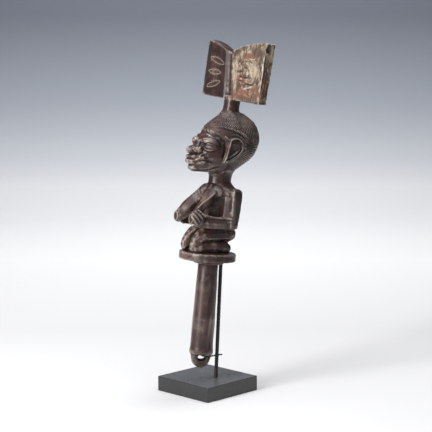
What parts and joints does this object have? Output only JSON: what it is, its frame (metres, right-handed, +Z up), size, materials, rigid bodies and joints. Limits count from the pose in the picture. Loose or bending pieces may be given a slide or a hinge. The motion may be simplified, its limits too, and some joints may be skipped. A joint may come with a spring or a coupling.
{
  "type": "dance staff",
  "caption": "Carved wooden dance staff: a kneeling woman bears a double axe on her head, held upright by a rod on a square display block.",
  "frame": {"origin": "centre of the block's underside, on the floor", "axes": "+Z up; -Y and +X are the block's two upright faces that the picture shows, -Y the left one and +X the right one"},
  "size_m": [0.1344, 0.1153, 0.4464],
  "materials": {
    "staff_wood": "dark reddish-brown carved hardwood, handled smooth, worn pale on the axe",
    "rod_steel": "darkened steel rod with a brazed cross pin",
    "block_paint": "matt charcoal-grey paint"
  },
  "bodies": {
    "root": {"base_block": "block_paint", "support_rod": "rod_steel", "staff": "staff_wood"}
  },
  "joints": []
}
